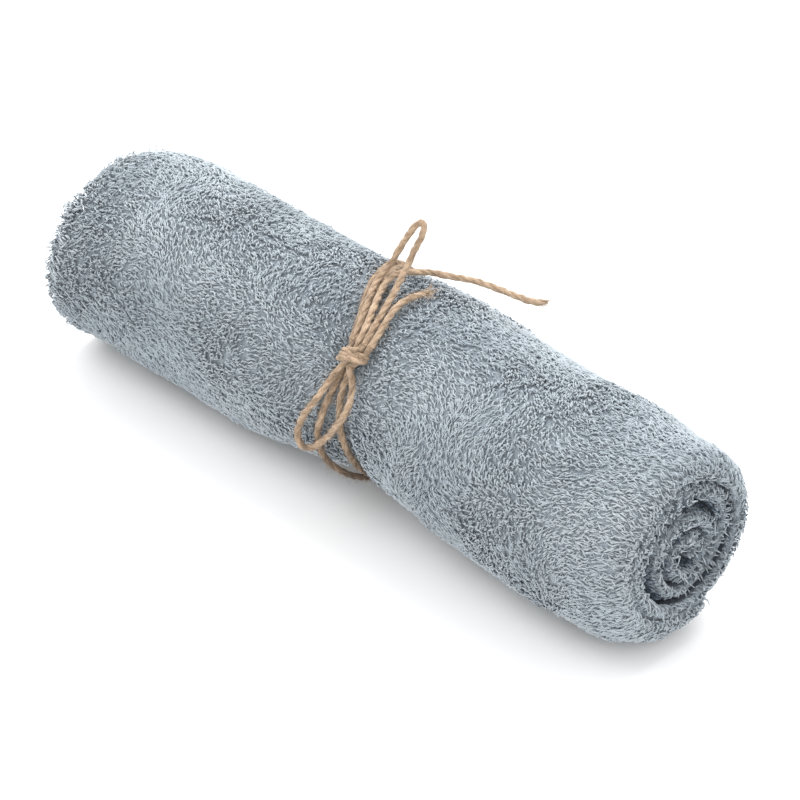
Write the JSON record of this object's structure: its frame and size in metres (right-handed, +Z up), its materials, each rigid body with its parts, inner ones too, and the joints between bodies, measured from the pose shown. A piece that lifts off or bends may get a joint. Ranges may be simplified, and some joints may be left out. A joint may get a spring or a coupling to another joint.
{
  "type": "rolled bath towel",
  "caption": "Folded terry bath towel rolled into a soft cylinder and tied round its middle with a twine bow, lying on its side.",
  "frame": {"origin": "centre of the towel's box at its base, on the surface that the roll lies on, twine left out", "axes": "+X along the roll towards the end with the folded edges, +Z up, +Y away from the knot"},
  "size_m": [0.35, 0.0994, 0.1258],
  "materials": {
    "terry": "blue-grey cotton terry, long loops, matt",
    "jute": "natural three-strand jute twine, matt and hairy"
  },
  "bodies": {
    "root": {"towel_roll": "terry", "twine_knot": "jute", "twine_wrap_a": "jute", "twine_wrap_b": "jute", "twine_bow_loop_upper": "jute", "twine_bow_loop_lower": "jute", "twine_end_long": "jute", "twine_end_short": "jute"}
  },
  "joints": []
}
